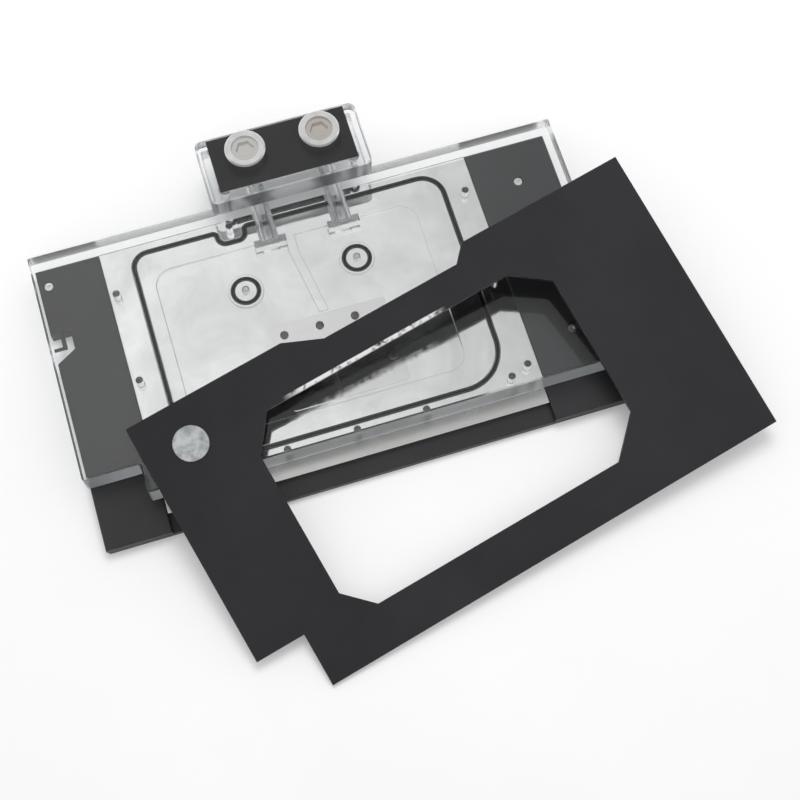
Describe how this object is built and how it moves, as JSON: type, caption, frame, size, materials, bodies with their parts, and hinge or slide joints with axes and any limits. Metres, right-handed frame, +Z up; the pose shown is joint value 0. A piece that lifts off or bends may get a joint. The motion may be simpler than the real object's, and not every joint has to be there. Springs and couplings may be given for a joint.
{
  "type": "graphics card liquid cooling cold plate",
  "caption": "Full-cover liquid cooling cold plate: nickel-plated base under a clear top with a port terminal and plugs, its black cover plate taken off and leaning on the front edge.",
  "frame": {"origin": "on the contact face, at the middle of the block's 234 by 130 mm plan, on the surface it lies on", "axes": "+X along the block's length, +Y towards the port terminal, +Z up from the contact face through the clear top"},
  "size_m": [0.2804, 0.2351, 0.0376],
  "materials": {
    "black_anodised": "satin black anodised",
    "nickel": "bright nickel plating on copper",
    "clear_acrylic": "clear polished",
    "black_label": "matt black",
    "steel": "bright stainless steel",
    "dark_steel": "black oxide",
    "plug_nickel": "bright nickel plating on brass",
    "seal": "black rubber",
    "disc_metal": "fine brushed"
  },
  "bodies": {
    "root": {"base_frame": "black_anodised", "cold_plate": "nickel", "main_oring": "seal", "jet_plate": "steel", "jet_screws": "dark_steel", "left_panel": "black_anodised", "right_panel": "black_anodised", "panel_screws": "steel", "under_screws": "dark_steel", "edge_clip": "black_anodised", "acrylic_top": "clear_acrylic", "lid_screws": "dark_steel", "boss_screws": "steel", "boss_orings": "seal", "terminal_body": "clear_acrylic", "terminal_orings": "seal", "terminal_screws": "steel", "terminal_plate": "black_label", "plug_left": "plug_nickel", "plug_right": "plug_nickel", "plug_orings": "seal", "cover_plate": "black_anodised", "cover_disc": "disc_metal"}
  },
  "joints": []
}
